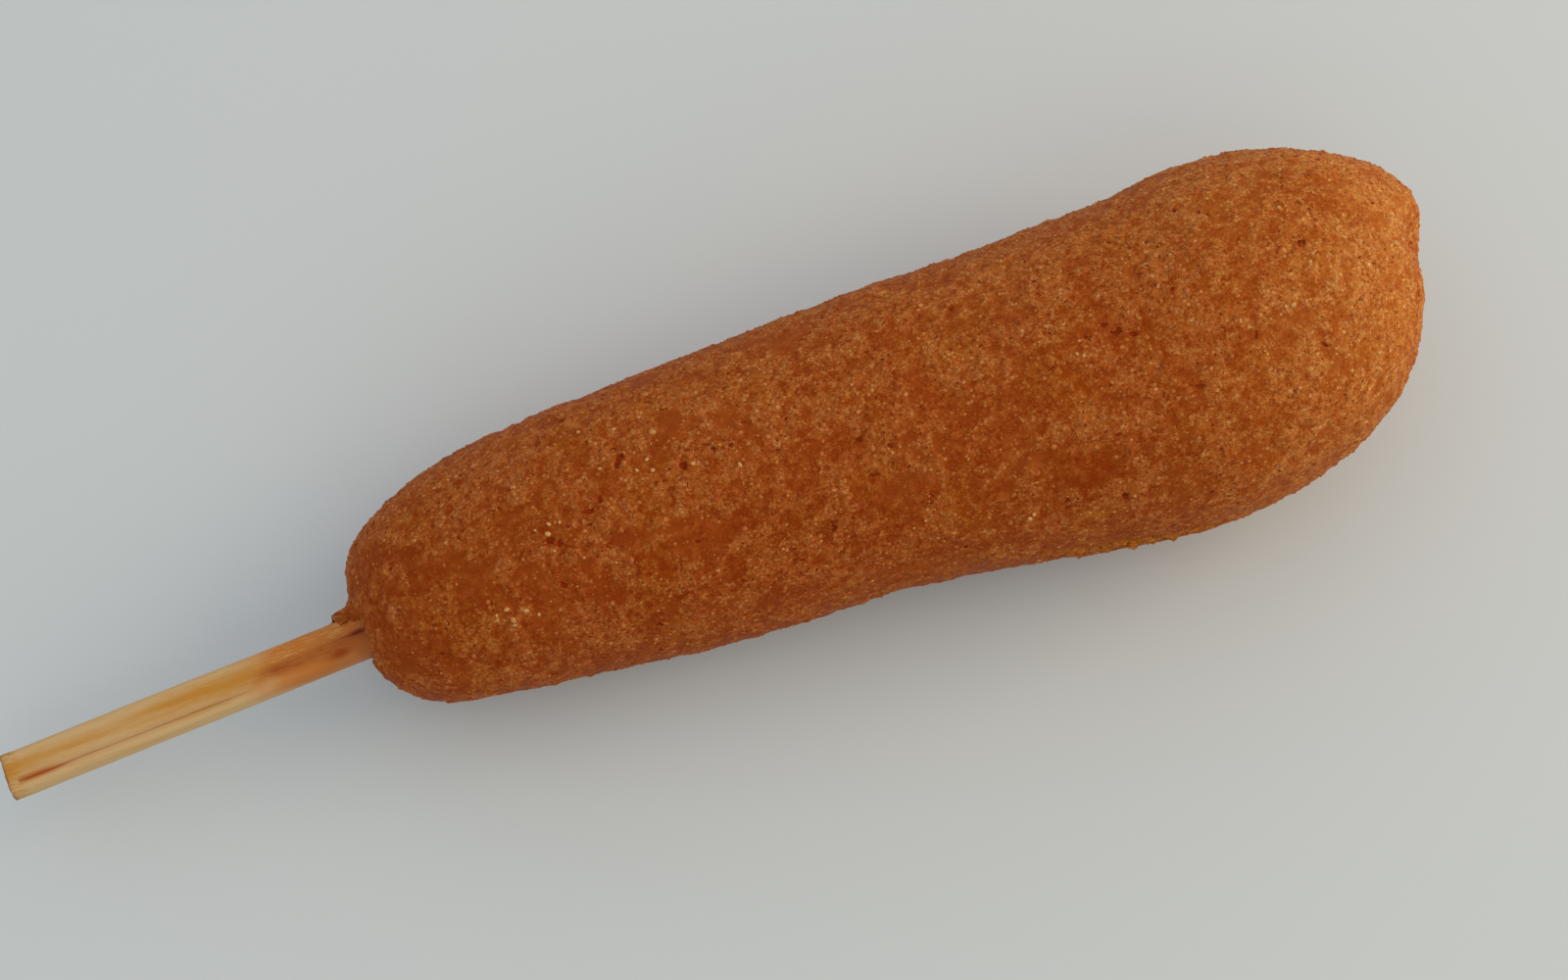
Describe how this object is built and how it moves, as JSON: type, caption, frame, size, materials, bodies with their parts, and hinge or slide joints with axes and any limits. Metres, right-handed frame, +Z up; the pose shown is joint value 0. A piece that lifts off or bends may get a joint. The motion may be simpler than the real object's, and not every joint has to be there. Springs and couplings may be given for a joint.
{
  "type": "corn dog",
  "caption": "Fried corn dog lying on its side: a long crust of browned cornmeal batter, fatter towards its round tip, on a wooden stick.",
  "frame": {"origin": "under the middle of the whole, on the surface it lies on", "axes": "+X from the stick's cut end to the crust's round tip, +Y to the far side, +Z up"},
  "size_m": [0.1738, 0.041, 0.038],
  "materials": {
    "crust": "deep-fried cornmeal batter, browned and slightly oily",
    "stick": "bare pale wood, oil-soaked next to the crust"
  },
  "bodies": {
    "root": {"crust": "crust", "stick": "stick"}
  },
  "joints": []
}
